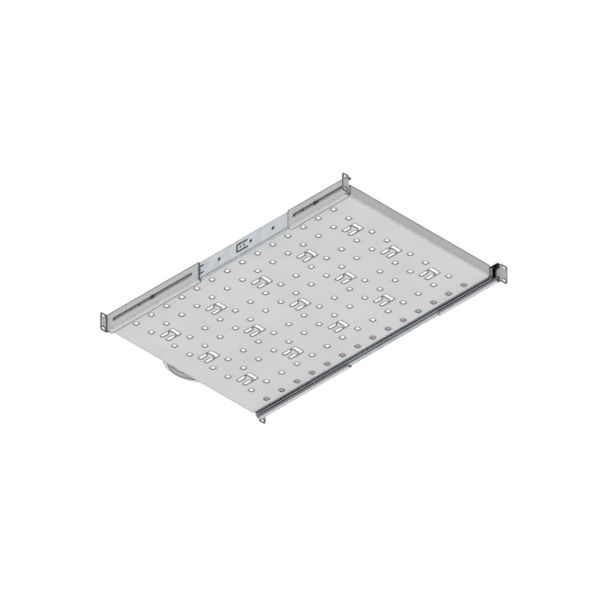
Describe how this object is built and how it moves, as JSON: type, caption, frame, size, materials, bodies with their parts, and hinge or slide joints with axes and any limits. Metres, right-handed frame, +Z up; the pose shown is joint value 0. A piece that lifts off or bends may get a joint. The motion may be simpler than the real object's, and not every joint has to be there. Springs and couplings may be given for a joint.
{
  "type": "sliding rack shelf",
  "caption": "Pull-out rack shelf: a perforated sheet tray with tie tabs and a bow pull, on telescopic ball slides held by slotted, depth-adjustable brackets with rack ears.",
  "frame": {"origin": "middle of the tray's hole pattern, level with the underside of the brackets", "axes": "+Z up, +Y towards the rear of the rack, +X towards the right-hand slide seen from the front"},
  "size_m": [0.4826, 0.732, 0.0443],
  "materials": {
    "powder_coat": "fine-textured light grey powder coat",
    "zinc_plate": "bright zinc-plated roll-formed steel",
    "cage_steel": "plain stamped strip",
    "ball_steel": "polished",
    "handle_plastic": "fine-grained moulded plastic",
    "screw_zinc": "black zinc-plated"
  },
  "bodies": {
    "rails": {"outer_member_left": "zinc_plate", "outer_member_right": "zinc_plate", "front_clamp_screws": "screw_zinc", "rear_clamp_screws": "screw_zinc"},
    "outer_cages": {"outer_ball_cage_left": "cage_steel", "outer_ball_cage_right": "cage_steel", "outer_balls_left": "ball_steel", "outer_balls_right": "ball_steel"},
    "intermediates": {"intermediate_member_left": "zinc_plate", "intermediate_member_right": "zinc_plate"},
    "inner_cages": {"inner_ball_cage_left": "cage_steel", "inner_ball_cage_right": "cage_steel", "inner_balls_left": "ball_steel", "inner_balls_right": "ball_steel"},
    "shelf": {"shelf_tray": "powder_coat", "pull_handle": "handle_plastic", "handle_screws": "screw_zinc", "inner_member_left": "zinc_plate", "inner_member_right": "zinc_plate", "tray_screws_left": "screw_zinc", "tray_screws_right": "screw_zinc"},
    "front_bracket_left": {"front_bracket_left": "powder_coat"},
    "front_bracket_right": {"front_bracket_right": "powder_coat"},
    "rear_bracket_left": {"rear_bracket_left": "powder_coat"},
    "rear_bracket_right": {"rear_bracket_right": "powder_coat"}
  },
  "joints": [
    {"name": "shelf_slide", "type": "slide", "parent": "rails", "child": "shelf", "axis": [0, -1, 0], "range_m": [0, 0.65]},
    {"name": "intermediate_slide", "type": "slide", "parent": "rails", "child": "intermediates", "axis": [0, -1, 0], "range_m": [0, 0.325]},
    {"name": "outer_cage_roll", "type": "slide", "parent": "rails", "child": "outer_cages", "axis": [0, -1, 0], "range_m": [0, 0.1625]},
    {"name": "inner_cage_roll", "type": "slide", "parent": "rails", "child": "inner_cages", "axis": [0, -1, 0], "range_m": [0, 0.4875]},
    {"name": "front_left_depth_adjust", "type": "slide", "parent": "rails", "child": "front_bracket_left", "axis": [0, 1, 0], "range_m": [-0.113, 0.11]},
    {"name": "front_right_depth_adjust", "type": "slide", "parent": "rails", "child": "front_bracket_right", "axis": [0, 1, 0], "range_m": [-0.113, 0.11]},
    {"name": "rear_left_depth_adjust", "type": "slide", "parent": "rails", "child": "rear_bracket_left", "axis": [0, 1, 0], "range_m": [-0.079, 0.0615]},
    {"name": "rear_right_depth_adjust", "type": "slide", "parent": "rails", "child": "rear_bracket_right", "axis": [0, 1, 0], "range_m": [-0.079, 0.0615]}
  ],
  "couplings": [
    {"joint": "intermediate_slide", "follows": "shelf_slide", "ratio": 0.5},
    {"joint": "outer_cage_roll", "follows": "shelf_slide", "ratio": 0.25},
    {"joint": "inner_cage_roll", "follows": "shelf_slide", "ratio": 0.75}
  ]
}
